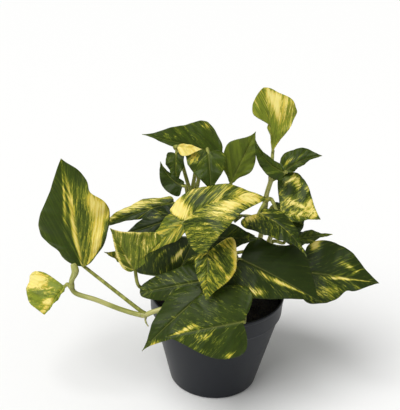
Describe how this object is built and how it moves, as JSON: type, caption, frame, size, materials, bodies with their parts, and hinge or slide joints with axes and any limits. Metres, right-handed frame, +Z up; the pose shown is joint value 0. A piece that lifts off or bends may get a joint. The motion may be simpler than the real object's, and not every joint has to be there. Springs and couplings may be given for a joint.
{
  "type": "potted variegated pothos",
  "caption": "Bushy young golden pothos with gold and cream streaked heart-shaped leaves on short vines, one trailing over the rim of a round tapered nursery pot.",
  "frame": {"origin": "centre of the pot's underside, on the flat disc that stands on the surface", "axes": "+Z up out of the pot, -Y to the front where the large leaf hangs over the rim, +X to the right; the trailing vine runs to -X"},
  "size_m": [0.3037, 0.1864, 0.2691],
  "materials": {
    "pot_plastic": "thin moulded dark grey nursery plastic, satin",
    "peat": "moist dark peat, matt and crumbly",
    "stem": "smooth pale green skin",
    "leaf_dark_green": "waxy leaf, satin, dark green with pale flecks",
    "leaf_green": "waxy leaf, satin, mid green with yellow flecks",
    "leaf_olive": "waxy leaf, satin, yellow-green mottled",
    "leaf_golden": "waxy leaf, satin, gold and green streaks",
    "leaf_cream": "waxy leaf, satin, cream with green flecks"
  },
  "bodies": {
    "root": {"pot": "pot_plastic", "soil": "peat", "stem_left_trailing": "stem", "stem_front_left": "stem", "stem_front": "stem", "stem_front_right": "stem", "stem_right_tall": "stem", "stem_right_side": "stem", "stem_centre": "stem", "stem_upper_left": "stem", "stem_back": "stem", "leaf_left_large": "leaf_golden", "leaf_left_small": "leaf_golden", "leaf_left_back_striped": "leaf_golden", "leaf_left_inner_dark": "leaf_dark_green", "leaf_left_drooping": "leaf_olive", "leaf_left_band": "leaf_olive", "leaf_left_low_back": "leaf_dark_green", "leaf_centre_left_broad": "leaf_dark_green", "leaf_left_low": "leaf_dark_green", "leaf_centre_cream": "leaf_cream", "leaf_centre_gold": "leaf_olive", "leaf_front_large": "leaf_green", "leaf_front_left_dark": "leaf_dark_green", "leaf_right_low_dark": "leaf_dark_green", "leaf_right_outer": "leaf_dark_green", "leaf_right_back_thin": "leaf_dark_green", "leaf_centre_low_dark": "leaf_dark_green", "leaf_right_hanging_long": "leaf_dark_green", "leaf_right_hanging_small": "leaf_dark_green", "leaf_right_striped": "leaf_cream", "leaf_right_upper": "leaf_green", "leaf_right_bud": "leaf_dark_green", "leaf_top_folded": "leaf_dark_green", "leaf_top_gold": "leaf_golden", "leaf_top_centre": "leaf_green", "leaf_top_left": "leaf_green", "leaf_upper_left_gold": "leaf_golden", "leaf_upper_left_hanging": "leaf_dark_green", "leaf_upper_left_outer": "leaf_dark_green", "leaf_centre_hanging": "leaf_dark_green", "leaf_back_left": "leaf_green", "leaf_back_middle": "leaf_olive", "leaf_back_right": "leaf_dark_green", "leaf_back_upper": "leaf_green", "leaf_back_upper_left": "leaf_golden", "leaf_back_upper_right": "leaf_green"}
  },
  "joints": []
}
